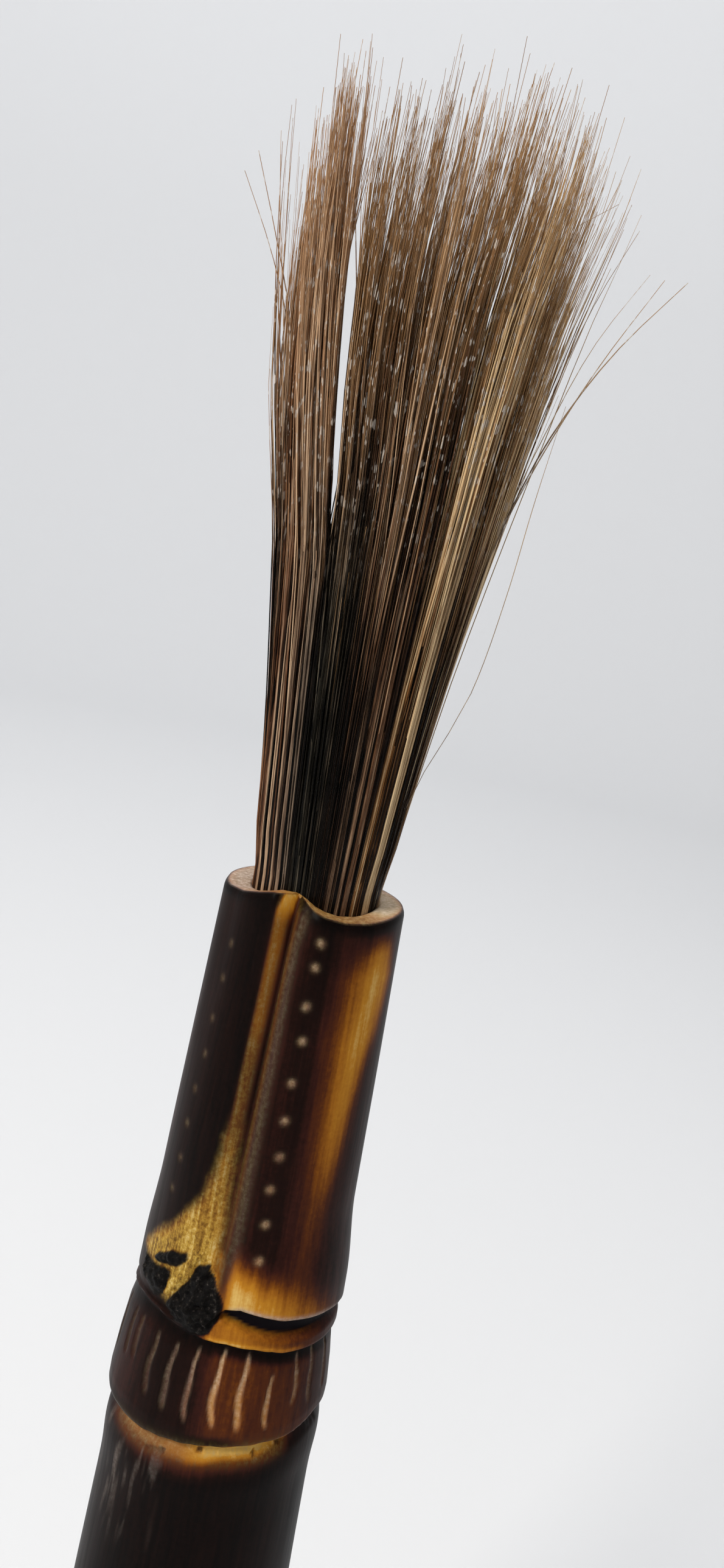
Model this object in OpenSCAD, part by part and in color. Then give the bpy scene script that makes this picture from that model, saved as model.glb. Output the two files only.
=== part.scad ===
// Calligraphy brush: a tuft of loose hair glued into the drilled end of a torched bamboo root stem.
// It stands upright on its sawn butt, on +Z, with the origin at the centre of the butt face.
// The side with the groove and the bud scar faces -Y, and angles run from -Y towards +X.

/* [Handle] */
// Length of the bamboo handle
handle_len = 160; // [130:1:200]
// Diameter at the mouth, where the hair comes out
mouth_d = 19.1; // [16:0.1:24]
// Diameter where the crowded root nodes begin
root_d = 25.2; // [21:0.1:31]
// Diameter of the sawn butt
butt_d = 26.4; // [22:0.1:32]
// Rounding of the butt's edge
butt_round = 1.2; // [0.4:0.1:2]
// Slope worn on the rim of the mouth
rim_bevel = 0.35; // [0.1:0.05:0.8]

/* [Nodes] */
// Depth of the first node's crease below the mouth
crease_depth = 44.6; // [36:0.1:54]
// Height of the ledge under that crease
ledge_h = 1.9; // [1:0.1:3]
// Height of the carved collar under the ledge
collar_h = 11.2; // [8:0.1:14]
// How far a node's ring stands out
node_swell = 0.6; // [0.3:0.05:1]
// Heights of the root nodes above the butt
root_nodes = [17, 36, 62];

/* [Groove and bud] */
// Half width of the groove's round floor
groove_r = 2.3; // [1.5:0.1:3]
// Wood left between the groove and the socket
groove_wall = 0.5; // [0.3:0.1:1]
// Depth of the groove where it meets the bud
groove_tail = 0.7; // [0.3:0.1:1.5]
// Angle of the groove
groove_angle = -12; // [-30:1:30]
// How far the bud scar stands out
bud_rise = 0.9; // [0.4:0.1:1.4]

/* [Carving] */
// Diameter of a carved dot
dot_d = 0.9; // [0.6:0.1:1.4]
// Spacing of the dots along a row
dot_pitch = 3.8; // [3:0.1:4.5]
// Dots in a row
dot_count = 10; // [4:1:10]
// Angles of the two rows of dots
dot_angles = [8, -55];
// Strokes cut round the collar
stroke_count = 24; // [12:1:30]
// Length of a stroke
stroke_len = 7.4; // [5:0.1:8]
// Width of a stroke
stroke_w = 0.7; // [0.4:0.1:1]
// Depth of the dots and strokes
carve_depth = 0.35; // [0.2:0.05:0.6]

/* [Socket] */
// Diameter of the drilled socket
socket_d = 13.5; // [10:0.1:15]
// Depth of the socket
socket_depth = 18; // [14:0.5:26]
// Thickness of the glue round the roots
glue_wall = 0.2; // [0.1:0.05:0.4]
// Thickness of the glue under the roots
glue_floor = 0.8; // [0.4:0.1:1.5]
// Thickness of the resin seal on the root ends
seal_h = 1.2; // [0.8:0.1:2]
// Diameter of the binding thread
thread_d = 0.6; // [0.4:0.05:0.8]
// Turns of thread
thread_turns = 8; // [4:1:12]

/* [Hair] */
// Length of the hair above the mouth
hair_len = 80; // [60:1:110]
// Width of the fanned tips from side to side
fan_w = 30; // [24:0.5:38]
// Width of the fanned tips from front to back
fan_t = 21; // [18:0.5:30]
// Height of the bending line above the mouth
bend_height = 3; // [3:0.1:5]
// Half width of the core at its foot, side to side and front to back
core_foot = [2.5, 2.2];
// How fast the core widens, side to side and front to back
core_spread = [0.094, 0.045];

/* [Fits] */
// Gap between hair that moves apart
lock_gap = 0.3; // [0.2:0.05:0.5]
// Gap between the roots and the glue's wall
root_gap = 0.05; // [0.02:0.01:0.1]

/* [Hidden] */
$fn = 96;
HULL_FN = 32;
mouth_r = mouth_d / 2;
socket_r = socket_d / 2;
root_r = socket_r - glue_wall - root_gap;
floor_z = handle_len - socket_depth;
seal_z = floor_z + glue_floor;
roots_z = seal_z + seal_h;
bend_z = handle_len + bend_height;
ball_r = root_r - lock_gap / 2;
thread_pitch = thread_d * 0.9;
thread_z = roots_z + 3;
crease_z = handle_len - crease_depth;
ledge_z = crease_z - ledge_h;
collar_z = ledge_z - collar_h;
lock_z = bend_z + lock_gap;
shoulder_h = hair_len * 0.88;
tip_taper = 0.78;
TIP_T = 0.02;
FAR = 60;

// Radius of the plain stem at a height: it swells steadily down to the root nodes
function stem_r(z) =
    let (top_root = root_nodes[len(root_nodes) - 1])
    z >= top_root
        ? mouth_r + (root_d / 2 - mouth_r) * (handle_len - z) / (handle_len - top_root)
        : root_d / 2 + (butt_d - root_d) / 2 * (top_root - z) / top_root;

// Outline of a root node, going up: a swelling with a crease in its middle
function node_ring(z) = [
    [stem_r(z - 3), z - 3],
    [stem_r(z) + node_swell * 0.7, z - 1.4],
    [stem_r(z) + node_swell * 0.1, z - 0.2],
    [stem_r(z) + node_swell, z + 1],
    [stem_r(z + 3.2), z + 3.2]
];

// Outline of the first node, going up: the collar's lower step, the collar, the ledge and the crease
function collar_outline() = [
    [stem_r(collar_z - 4) + 0.1, collar_z - 4],
    [stem_r(collar_z) + 0.1, collar_z - 0.5],
    [stem_r(collar_z) - node_swell * 0.4, collar_z],
    [stem_r(collar_z) + node_swell * 0.6, collar_z + 0.6],
    [stem_r(collar_z) + node_swell * 0.7, collar_z + collar_h * 0.3],
    [stem_r(ledge_z) + node_swell * 0.2, ledge_z - 1],
    [stem_r(ledge_z) - node_swell * 0.2, ledge_z - 0.3],
    [stem_r(ledge_z) + node_swell, ledge_z + 0.3],
    [stem_r(crease_z) + node_swell * 0.6, crease_z - 0.6],
    [stem_r(crease_z) - node_swell * 0.3, crease_z],
    [stem_r(crease_z) + node_swell, crease_z + 1.1],
    [stem_r(crease_z + 5), crease_z + 5]
];

// Half of the stem's section, from the axis out
module stem_section() {
    polygon(concat(
        [[0, 0], [butt_d / 2 - butt_round, 0], [butt_d / 2 - butt_round * 0.3, butt_round * 0.3],
         [butt_d / 2, butt_round]],
        [for (z = root_nodes) each node_ring(z)],
        collar_outline(),
        [[mouth_r, handle_len - rim_bevel], [mouth_r - rim_bevel, handle_len], [0, handle_len]]
    ));
}

// Puts a shape on the stem's skin at an angle and height, with its own +X pointing outwards
module on_skin(angle, z, sink = 0) {
    rotate([0, 0, angle - 90])
        translate([stem_r(z) - sink, 0, z])
            children();
}

// The round-bottomed groove above the bud, deepest at the mouth
module groove() {
    deep = mouth_r - socket_r - groove_wall;
    run = crease_depth - 6;
    low_z = handle_len - run;
    out = stem_r(low_z) - groove_tail - (mouth_r - deep);
    lean = atan(out / run);
    rotate([0, 0, groove_angle - 90])
        translate([mouth_r - deep + groove_r, 0, handle_len])
            rotate([0, -lean, 0])
                translate([0, 0, -run])
                    cylinder(r = groove_r, h = run + 5);
}

// The charred bud scar: a large and a small lump
module bud_scar() {
    for (lump = [[-28, 2.4, 5, 1], [-56, 3.4, 3.4, 0.7]])
        on_skin(lump[0], crease_z + lump[1], lump[2] - bud_rise * lump[3])
            sphere(r = lump[2]);
}

module dot_rows() {
    for (angle = dot_angles, i = [0 : dot_count - 1])
        on_skin(angle, handle_len - 2.7 - i * dot_pitch, carve_depth - dot_d / 2)
            sphere(d = dot_d, $fn = 24);
}

module strokes() {
    mid_z = (ledge_z + collar_z) / 2;
    for (i = [0 : stroke_count - 1])
        on_skin(1 + i * 360 / stroke_count, mid_z, carve_depth - node_swell * 0.45)
            translate([0, -stroke_w / 2, -stroke_len / 2])
                cube([3, stroke_w, stroke_len]);
}

module bamboo_handle() {
    color("#3a2114")
    difference() {
        union() {
            rotate_extrude() stem_section();
            bud_scar();
        }
        translate([0, 0, floor_z]) cylinder(d = socket_d, h = socket_depth + 1);
        groove();
        dot_rows();
        strokes();
    }
}

module glue_bed() {
    color("#8a6a3c")
    difference() {
        translate([0, 0, floor_z]) cylinder(d = socket_d, h = socket_depth - 4);
        translate([0, 0, seal_z]) cylinder(r = socket_r - glue_wall, h = socket_depth);
    }
}

module root_seal() {
    color("#5a2c12")
    translate([0, 0, seal_z]) cylinder(r = root_r, h = seal_h);
}

// Rings of thread, pulled tight enough to press into each other
module root_binding() {
    color("#e6dcc4")
    rotate_extrude()
        for (i = [0 : thread_turns - 1])
            translate([root_r - thread_d / 2, thread_z + i * thread_pitch])
                circle(d = thread_d, $fn = 24);
}

// The glued roots, necked under the thread and hollowed on top for the ball of the tuft
module bound_roots() {
    neck_h = thread_d + thread_pitch * (thread_turns - 1);
    color("#2a1c14")
    difference() {
        translate([0, 0, roots_z])
            cylinder(r = root_r, h = handle_len + 1 - roots_z);
        translate([0, 0, thread_z - thread_d / 2])
            rotate_extrude()
                translate([root_r - thread_d, 0])
                    square([thread_d + 1, neck_h]);
        translate([0, 0, bend_z]) sphere(r = ball_r + lock_gap);
    }
}

// Outer shape of the fanned tuft above the bending line
module fan() {
    foot_r = ball_r;
    hull()
        for (s = [[0, foot_r, foot_r], [shoulder_h, fan_w / 2, fan_t / 2],
                  [hair_len - bend_height - TIP_T, fan_w / 2 * tip_taper, fan_t / 2 * tip_taper]])
            translate([0, 0, bend_z + s[0]])
                linear_extrude(TIP_T)
                    resize([2 * s[1], 2 * s[2]]) circle(d = 1, $fn = HULL_FN);
}

// The space between two leaning faces, one on each side of the axis, that widens upwards
module spreading_slab(foot, spread, shrink) {
    rise = hair_len + 2;
    low = foot - shrink;
    high = foot + spread * rise - shrink;
    translate([0, 0, bend_z])
        rotate([90, 0, 0])
            linear_extrude(2 * FAR, center = true)
                polygon([[-low, 0], [low, 0], [high, rise], [-high, rise]]);
}

module side_slab(shrink) {
    spreading_slab(core_foot[0], core_spread[0], shrink);
}

module depth_slab(shrink) {
    rotate([0, 0, 90]) spreading_slab(core_foot[1], core_spread[1], shrink);
}

// Everything on one side of the axis above the locks' feet: side is a direction in degrees
module half_space(side) {
    rotate([0, 0, side])
        translate([0, -FAR, lock_z])
            cube([FAR, 2 * FAR, hair_len]);
}

module side_lock(side) {
    difference() {
        intersection() {
            fan();
            half_space(side);
        }
        side_slab(-lock_gap / 2);
    }
}

module face_lock(side) {
    difference() {
        intersection() {
            fan();
            half_space(side);
            side_slab(lock_gap / 2);
        }
        depth_slab(-lock_gap / 2);
    }
}

// The dark middle of the tuft, on the ball that it bends on
module core_lock() {
    color("#241a16") {
        intersection() {
            fan();
            side_slab(lock_gap / 2);
            depth_slab(lock_gap / 2);
        }
        difference() {
            translate([0, 0, bend_z]) sphere(r = ball_r);
            translate([-FAR, -FAR, bend_z + TIP_T / 2]) cube(2 * FAR);
        }
    }
}

module left_lock() {
    color("#8a6548") side_lock(180);
}

module right_lock() {
    color("#a98a62") side_lock(0);
}

module front_lock() {
    color("#4a3226") face_lock(-90);
}

module back_lock() {
    color("#6a4a36") face_lock(90);
}

bamboo_handle();
glue_bed();
root_seal();
root_binding();
bound_roots();
core_lock();
left_lock();
right_lock();
front_lock();
back_lock();
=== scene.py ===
"""Looks of a calligraphy brush: torched bamboo stem, loose hair tuft and what the socket hides.

Lengths inside the making functions are in millimetres. A point on the stem is given by its
angle round the stem (0 faces -Y, positive towards +X) and its depth below the mouth. A point on
a hair is given by its height above the mouth.
"""

import math

import bmesh
import bpy
import numpy as np
from mathutils import Matrix, Vector, noise


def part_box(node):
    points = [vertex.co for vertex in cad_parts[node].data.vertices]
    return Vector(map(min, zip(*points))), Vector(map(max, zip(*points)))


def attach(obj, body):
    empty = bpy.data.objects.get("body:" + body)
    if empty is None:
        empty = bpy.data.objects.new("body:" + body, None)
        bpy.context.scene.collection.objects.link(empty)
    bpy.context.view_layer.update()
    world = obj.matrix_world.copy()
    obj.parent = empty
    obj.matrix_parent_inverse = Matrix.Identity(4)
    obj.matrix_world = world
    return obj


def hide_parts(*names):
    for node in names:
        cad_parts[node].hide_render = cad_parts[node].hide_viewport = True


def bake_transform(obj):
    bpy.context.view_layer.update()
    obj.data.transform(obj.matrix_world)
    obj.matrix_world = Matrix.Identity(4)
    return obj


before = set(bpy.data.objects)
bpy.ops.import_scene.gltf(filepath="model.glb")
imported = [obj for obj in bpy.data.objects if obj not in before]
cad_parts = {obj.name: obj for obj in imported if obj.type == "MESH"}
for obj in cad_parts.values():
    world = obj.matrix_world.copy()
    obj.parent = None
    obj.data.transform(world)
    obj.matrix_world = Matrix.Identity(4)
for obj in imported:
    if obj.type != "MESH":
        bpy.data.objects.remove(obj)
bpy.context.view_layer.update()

MM = 0.001
SEED = 7

stem_low, stem_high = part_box("bamboo_handle")
glue_low, glue_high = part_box("glue_bed")
MOUTH = stem_high.z / MM
STEM_LENGTH = (stem_high.z - stem_low.z) / MM
SOCKET_R = glue_high.x / MM
SOCKET_DEPTH = MOUTH - glue_low.z / MM


# ---------------------------------------------------------------- small tools


def linear(hex_colour):
    """An sRGB hex colour as linear RGBA."""
    parts = [int(hex_colour[i : i + 2], 16) / 255 for i in (1, 3, 5)]
    return [c / 12.92 if c <= 0.04045 else ((c + 0.055) / 1.055) ** 2.4 for c in parts] + [1.0]


def ease(x, low, high):
    """0 below low, 1 above high, and a smooth rise between them."""
    t = np.clip((x - low) / (high - low), 0, 1)
    return t * t * (3 - 2 * t)


def span(x, low, high, soft_low, soft_high):
    """1 between low and high, with each edge softened by its own width."""
    above_low = ease(x, low - soft_low, low + soft_low)
    return above_low * (1 - ease(x, high - soft_high, high + soft_high))


def hill(x, centre, half):
    """A rounded hill, 1 at its centre."""
    return np.exp(-(((x - centre) / half) ** 2))


def mix(a, b, share):
    return a + (b - a) * share


def curve(x, *points):
    """A line through (x, y) points."""
    return np.interp(x, [p[0] for p in points], [p[1] for p in points])


def rough(points, size, stretch=1.0, octaves=2, seed=0.0):
    """Noise from about -1 to 1 at points in mm, with lumps of that size, stretched along Z."""
    scale = Vector((1 / size, 1 / size, 1 / (size * stretch)))
    shift = Vector((seed * 17.3, seed * 5.1, seed * 9.7))
    flat = points.reshape(-1, 3)
    values = [noise.fractal(Vector(p) * scale + shift, 1.0, 2.0, octaves) for p in flat]
    return np.array(values).reshape(points.shape[:-1])


def add(tree, kind, inputs=None, **settings):
    """Adds a node. inputs gives a socket a value, or links it to another node's output."""
    node = tree.nodes.new(kind)
    for name, value in settings.items():
        setattr(node, name, value)
    for socket, value in (inputs or {}).items():
        if isinstance(value, bpy.types.NodeSocket):
            tree.links.new(value, node.inputs[socket])
        else:
            node.inputs[socket].default_value = value
    return node


def new_material(name):
    material = bpy.data.materials.new(name)
    material.use_nodes = True
    material.node_tree.nodes.clear()
    return material, material.node_tree


def set_ramp(ramp, *stops):
    """Fills a colour ramp with (place, hex colour) stops."""
    elements = ramp.color_ramp.elements
    while len(elements) > 1:
        elements.remove(elements[-1])
    elements[0].position = stops[0][0]
    elements[0].color = linear(stops[0][1])
    for place, colour in stops[1:]:
        elements.new(place).color = linear(colour)


# ------------------------------------------------------------------ the stem
# One piece of root bamboo. Its surface is a net of points, close together where it is carved.

RING_POINTS = 250
FINE_DEPTH = 63.0
FINE_STEP = 0.26
COARSE_STEP = 0.9
GROOVE_ANGLE = -12.6
# Rings over the rim: (share of the way from the socket to the skin, drop in mm).
RIM_RINGS = ((0.97, 0.05), (0.85, 0.0), (0.6, 0.02), (0.3, 0.0), (0.1, 0.02), (0.0, 0.12))
ROOT_NODES = (98.0, 124.0, 143.0)
DOT_ROWS = (
    (8.0, 1.0, (2.6, 5.1, 9.1, 12.7, 17.2, 21.2, 25.1, 28.7, 32.5, 36.4)),
    (-55.0, 0.2, (5.6, 9.3, 13.7, 17.5, 21.5, 25.3, 29.1, 32.7)),
)
# Strokes cut down the collar: (angle, first depth, last depth, half width, bow, how bare).
STROKES = (
    (-64, 47.4, 53.0, 0.28, 0.2, 0.14), (-55, 47.4, 52.4, 0.30, 0.3, 0.16),
    (-40, 47.6, 54.9, 0.34, 0.3, 0.2), (-27, 47.7, 55.4, 0.33, 0.3, 0.34),
    (-14, 47.3, 55.6, 0.28, 0.3, 0.55), (0.6, 46.9, 55.5, 0.31, 0.45, 1.0),
    (13.8, 47.0, 55.6, 0.31, 0.35, 1.0), (29.3, 49.4, 55.4, 0.25, 0.4, 0.9),
    (44, 47.5, 53.4, 0.22, -0.2, 0.7), (57, 47.3, 54.0, 0.24, 0.2, 0.5),
    (71, 47.6, 53.5, 0.26, -0.2, 0.45), (-80, 47.5, 54.4, 0.27, 0.2, 0.4),
)
# Outlines as (angle, depth) corners: the charred bud with the two smaller lumps beside it, the
# fibrous ridge between them, and the fan of bare gold fibres that the groove opens into.
BUD = ((-22, 38.4), (-18, 38.2), (-14, 39.2), (-9.5, 40.4), (-6.5, 41.7), (-7.2, 43.5), (-11, 45.2),
       (-16, 45.7), (-25, 45.6), (-34, 45.0), (-40, 44.3), (-37, 43.0), (-30.5, 41.2),
       (-25.5, 39.4))
FLAT_LUMP = ((-60, 41.0), (-54, 40.0), (-43.5, 38.8), (-32.5, 37.9), (-31, 38.8), (-38, 40.0),
             (-52, 41.0))
SIDE_LUMP = ((-72, 41.6), (-62, 41.6), (-53, 41.2), (-42.5, 40.7), (-40, 42.0), (-40.5, 43.4),
             (-49, 44.4), (-64, 44.0))
RIDGE = ((-28.5, 37.2), (-24.0, 37.6), (-26.5, 39.3), (-31, 41.0), (-38, 42.9), (-41.5, 43.6),
         (-40, 41.6), (-33, 39.8), (-29.5, 38.4))
FAN = ((-76, 40.8), (-60, 38.2), (-45, 35.6), (-36.5, 33.6), (-30, 31.2), (-26.5, 28.6), (-24, 25),
       (-21, 22.5), (-15, 22.5), (-12.5, 27), (-12.2, 36), (-9.5, 38.8), (-9, 41.0), (-14, 43),
       (-40, 44), (-60, 41.6))


def stem_radius(depth):
    return curve(depth, (0, 9.55), (98, 12.6), (160, 13.2))


def rim_lift(angle, depth):
    """Rise of the rim: the mouth isn't sawn flat, and stands higher to the left of the groove."""
    height = curve(angle, (-180, 0.1), (-100, 0), (-75, -0.2), (-56, 0.1), (-40, 0.75), (-28, 1.3),
                   (-16, 1.4), (-6, 1.0), (2, 0.45), (10, 0.1), (22, -0.2), (40, -0.2), (70, 0.2),
                   (180, 0.1))
    return height * (1 - ease(depth, 0, 11))


def lip_depth(angle):
    """Depth of the lip over the node's crease."""
    return curve(angle, (-180, 45.3), (-90, 45.0), (-14, 44.6), (-8, 43.0), (-4, 42.3), (4, 42.1),
                 (16, 42.6), (28, 43.1), (45, 43.3), (66, 43.6), (100, 44.4), (180, 45.3))


def ledge_top(angle):
    """Depth at which the ledge comes out from under the crease."""
    thick = curve(angle, (-180, 0.5), (-90, 0.3), (-14, 0.1), (-6, 0.35), (-1, 1.1), (8, 1.6),
                  (20, 1.7), (45, 1.5), (70, 1.1), (180, 0.5))
    return lip_depth(angle) + thick


def ledge_bottom(angle):
    return curve(angle, (-180, 47.0), (-90, 46.3), (-60, 45.4), (-45, 45.4), (-30, 45.8),
                 (-12, 46.1), (0, 46.0), (18, 46.3), (31, 46.7), (60, 46.7), (90, 46.9),
                 (180, 47.0))


def collar_step(angle):
    """Depth of the collar's lower edge."""
    return curve(angle, (-180, 57.4), (-110, 58.6), (-36, 58.5), (-13, 58.0), (3, 57.6), (30, 57.1),
                 (46, 56.9), (66, 55.8), (120, 56.4), (180, 57.4))


def along_skin(angle, centre, depth):
    """Distance in mm round the stem from a line at that angle."""
    turn = (angle - centre + 180) % 360 - 180
    return np.radians(turn) * stem_radius(depth)


def inside(x, depth, outline):
    """Distance in mm inside an outline, negative outside. x is in mm round from the front."""
    corners = [(math.radians(a) * stem_radius(d), d) for a, d in outline]
    nearest = np.full(x.shape, 1e9)
    within = np.zeros(x.shape, bool)
    for (ax, ay), (bx, by) in zip(corners, corners[1:] + corners[:1]):
        run, fall = bx - ax, by - ay
        t = np.clip(((x - ax) * run + (depth - ay) * fall) / (run**2 + fall**2), 0, 1)
        nearest = np.minimum(nearest, np.hypot(x - ax - t * run, depth - ay - t * fall))
        crosses = (ay > depth) != (by > depth)
        within ^= crosses & (x < ax + (depth - ay) * run / (fall if fall else 1e-9))
    return np.where(within, nearest, -nearest)


def groove_shape(angle, depth):
    """How deep the groove is cut, and the mm to the right of its crease."""
    across = along_skin(angle, GROOVE_ANGLE, depth)
    left = curve(depth, (0, 2.2), (24, 2.3), (30, 3.0), (40, 7.0))
    right = curve(depth, (0, 3.6), (3, 2.5), (8, 1.9), (30, 1.5), (40, 1.1))
    q = np.clip(np.where(across < 0, -across / left, across / right), 0, 1)
    deep = curve(depth, (0, 2.3), (1.5, 2.0), (6, 1.4), (20, 1.0), (36, 0.6), (41, 0))
    return deep * (1 - q) ** 2 * (1 + 1.1 * q), across


def dot_marks(angle, depth):
    """Carved dots, 1 in the middle of each pit."""
    marks = np.zeros_like(depth)
    for centre, strength, depths in DOT_ROWS:
        for i, at in enumerate(depths):
            sway = 0.9 * math.sin(2.3 * i + 0.8)
            where = np.hypot(along_skin(angle, centre + sway, depth), depth - at)
            marks = np.maximum(marks, np.exp(-((where / 0.37) ** 2)) * strength)
    return marks


def stroke_marks(angle, depth):
    """Strokes cut down the collar, no two alike, and how bare their wood is."""
    rng = np.random.default_rng(SEED)
    strokes = list(STROKES)
    for centre in range(86, 270, 14):
        top = 47.8 + rng.uniform(0, 1.2)
        strokes.append((centre + rng.uniform(-2, 2), top, rng.uniform(53.5, 55.6),
                        rng.uniform(0.22, 0.32), rng.uniform(-0.3, 0.4), rng.uniform(0.35, 0.6)))
    marks, bare = np.zeros_like(depth), np.zeros_like(depth)
    for i, (centre, top, bottom, half, bow, pale) in enumerate(strokes):
        share = (depth - top) / (bottom - top)
        bowed = bow * np.sin(np.pi * np.clip(share, 0, 1) ** 1.3)
        across = along_skin(angle, centre, depth) + bowed + 0.06 * np.sin(depth * 1.3 + i * 1.7)
        wide = half * curve(share, (0, 0.55), (0.35, 0.8), (0.6, 1.1), (0.9, 1.0), (1, 0.7))
        whole = span(share, 0.04, 0.95, 0.08, 0.08)
        line = (1 - ease(np.abs(across), wide * 0.3, wide * 1.45)) * whole
        own_bare = pale * curve(share, (0, 0.85), (0.4, 0.8), (0.6, 0.5), (1, 0.45))
        bare = np.where(line > marks, own_bare, bare)
        marks = np.maximum(marks, line)
    return marks, marks * bare


def groove_scorch(angle, depth, across, scorch_and_painted_light):
    """The left bank of the groove was shielded from the flame, and stayed golden; the right bank
    has a painted highlight and the crease painted shade.
    """
    bank = span(angle, -23.6, -14.8, 1.3, 2.4) * (1 - ease(depth, 24, 29))
    tone = curve(depth, (0, 0.48), (3, 0.56), (9, 0.6), (12, 0.58), (17, 0.68), (24, 0.66))
    scorch_and_painted_light = mix(scorch_and_painted_light, tone - 0.06 * hill(angle, -19.5, 2.5), bank)
    lip = span(angle, -22.5, -12.0, 1.6, 1.6) * (1 - ease(depth, 0.3, 3.2))
    scorch_and_painted_light = mix(scorch_and_painted_light, 0.13, lip * 0.9)
    # painted highlight: the right bank is laid in lighter (0.6), as light catching it
    right_bank_highlight = span(angle, -11.5, -8.5, 1.0, 1.6) * span(depth, -3, 38, 1, 3)
    scorch_and_painted_light = mix(scorch_and_painted_light, 0.6, right_bank_highlight * 0.8)
    # painted shade: a darker line along the groove's crease
    crease = hill(across, 0, 0.22) * span(depth, -1, 40, 1, 1.5)
    return mix(scorch_and_painted_light, 0.78, crease * 0.8)


def stem_scorch(angle, depth, across):
    """How far the skin was burnt: 0 is raw yellow skin, 0.4 amber, 0.7 brown and 1 black."""
    scorch_and_painted_light = curve(angle, (-180, 0.86), (-120, 0.9), (-78, 0.84), (-60, 0.86), (-45, 0.93),
                   (-28, 0.97), (-8, 0.8), (-2, 0.8), (6, 0.86), (14, 0.9), (22, 0.8), (34, 0.76),
                   (64, 0.82), (90, 0.84), (180, 0.86))
    middle = curve(depth, (2, 56), (8, 52), (14, 45), (20, 42), (28, 39), (40, 36))
    half = curve(depth, (2, 11), (6, 19), (12, 17), (16, 13), (20, 11), (28, 10), (40, 8))
    strength = curve(depth, (1.0, 0), (3.4, 0.8), (6, 1), (13, 0.97), (17, 0.86), (20, 0.8),
                     (25, 0.62), (30, 0.34), (42, 0.12))
    window = np.exp(-(np.abs((angle - middle) / half) ** 2.4)) * strength
    scorch_and_painted_light = scorch_and_painted_light - 0.16 * hill(angle, middle - half - 3, 12) * strength
    scorch_and_painted_light = mix(scorch_and_painted_light, 0.19, window)
    # the groove adds a painted highlight on its right bank and painted shade in its crease
    scorch_and_painted_light = groove_scorch(angle, depth, across, scorch_and_painted_light)
    rim = (1 - ease(depth, 0.5, 1.7)) * (1 - 0.95 * span(angle, -22.5, -11, 1.5, 2))
    return mix(scorch_and_painted_light, 0.97, rim)


def node_scorch(angle, depth, scorch_and_painted_light):
    """The first node: glow over the crease, ledge, collar with painted shadow under the ledge, pale
    ring.
    """
    top = curve(angle, (-12, 37.6), (-5, 36.4), (5, 37.0), (15, 37.8), (30, 39.0), (45, 40.0),
                (60, 41.2))
    top = top + 0.22 * np.sin(np.radians(angle) * 31) + 0.12 * np.sin(np.radians(angle) * 73)
    glow = ease(depth, top - 2.2, top + 3.6) * span(angle, -6, 66, 3.0, 12)
    glow_tone = curve(angle, (-12, 0.5), (-5, 0.32), (-1, 0.15), (4, 0.18), (12, 0.24), (22, 0.28),
                      (32, 0.33), (45, 0.4), (60, 0.52))
    scorch_and_painted_light = mix(scorch_and_painted_light, glow_tone, glow)
    crease, low = ledge_top(angle), ledge_bottom(angle)
    on_ledge = ease(depth, crease - 0.2, crease + 0.3) * (1 - ease(depth, low - 0.15, low + 0.2))
    ledge_tone = curve(angle, (-180, 0.8), (-60, 0.78), (-24, 0.88), (-16, 0.76), (-9, 0.44),
                       (0, 0.38), (12, 0.43), (24, 0.5), (38, 0.57), (60, 0.72), (180, 0.8))
    edge_glow = 0.2 * hill(depth, low - 0.35, 0.3) * span(angle, -12, 42, 3, 6)
    scorch_and_painted_light = mix(scorch_and_painted_light, ledge_tone - edge_glow, on_ledge)
    step = collar_step(angle)
    on_collar = ease(depth, low - 0.1, low + 0.3) * (1 - ease(depth, step - 0.2, step))
    collar_tone = curve(angle, (-180, 0.86), (-60, 0.82), (-30, 0.92), (-14, 0.84), (-4, 0.66),
                        (8, 0.62), (44, 0.64), (60, 0.74), (100, 0.84), (180, 0.86))
    # painted shadow: just under the ledge the collar starts nearly black (0.97) and only reaches
    # its own tone 0.8 to 2.1 mm lower
    shade = 0.97 - (0.97 - collar_tone) * ease(depth, low + 0.8, low + 2.1)
    border = curve(angle, (-180, 0.9), (4, 0.95), (20, 0.62), (60, 0.66), (90, 0.9))
    shade = mix(shade, border, ease(depth, step - 1.6, step - 0.4))
    scorch_and_painted_light = mix(scorch_and_painted_light, shade, on_collar)
    under = depth - step
    thick = curve(angle, (-90, 0.1), (-64, 0.9), (-45, 1.5), (-25, 2.0), (-8, 2.5), (0, 2.3),
                  (10, 1.8), (25, 1.9), (36, 1.4), (46, 0.9), (58, 0.1))
    pale = curve(angle, (-64, 0.58), (-45, 0.5), (-28, 0.5), (-14, 0.38), (0, 0.15), (25, 0.12),
                 (40, 0.28), (56, 0.6))
    ring_tone = mix(pale, 0.62, ease(under, thick * 0.55, thick * 1.15))
    ring_tone = mix(ring_tone, 0.96, ease(under, thick, thick + 2.6))
    reach = span(angle, -70, 52, 10, 9)
    ring_tone = mix(0.9, ring_tone, 0.1 + 0.9 * reach)
    return mix(scorch_and_painted_light, ring_tone, ease(under, -0.05, 0.3))


def root_scorch(angle, depth, scorch_and_painted_light):
    """The root end is nearly black, with a brown glow in the shelter under each ring."""
    scorch_and_painted_light = mix(scorch_and_painted_light, 0.955, ease(depth, 62, 65))
    for node_depth in ROOT_NODES:
        uneven = 0.55 + 0.35 * np.sin(np.radians(angle * 2 + node_depth * 9))
        scorch_and_painted_light = scorch_and_painted_light - 0.42 * (hill(depth, node_depth + 2.2, 1.3) * uneven)
    return scorch_and_painted_light


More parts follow.
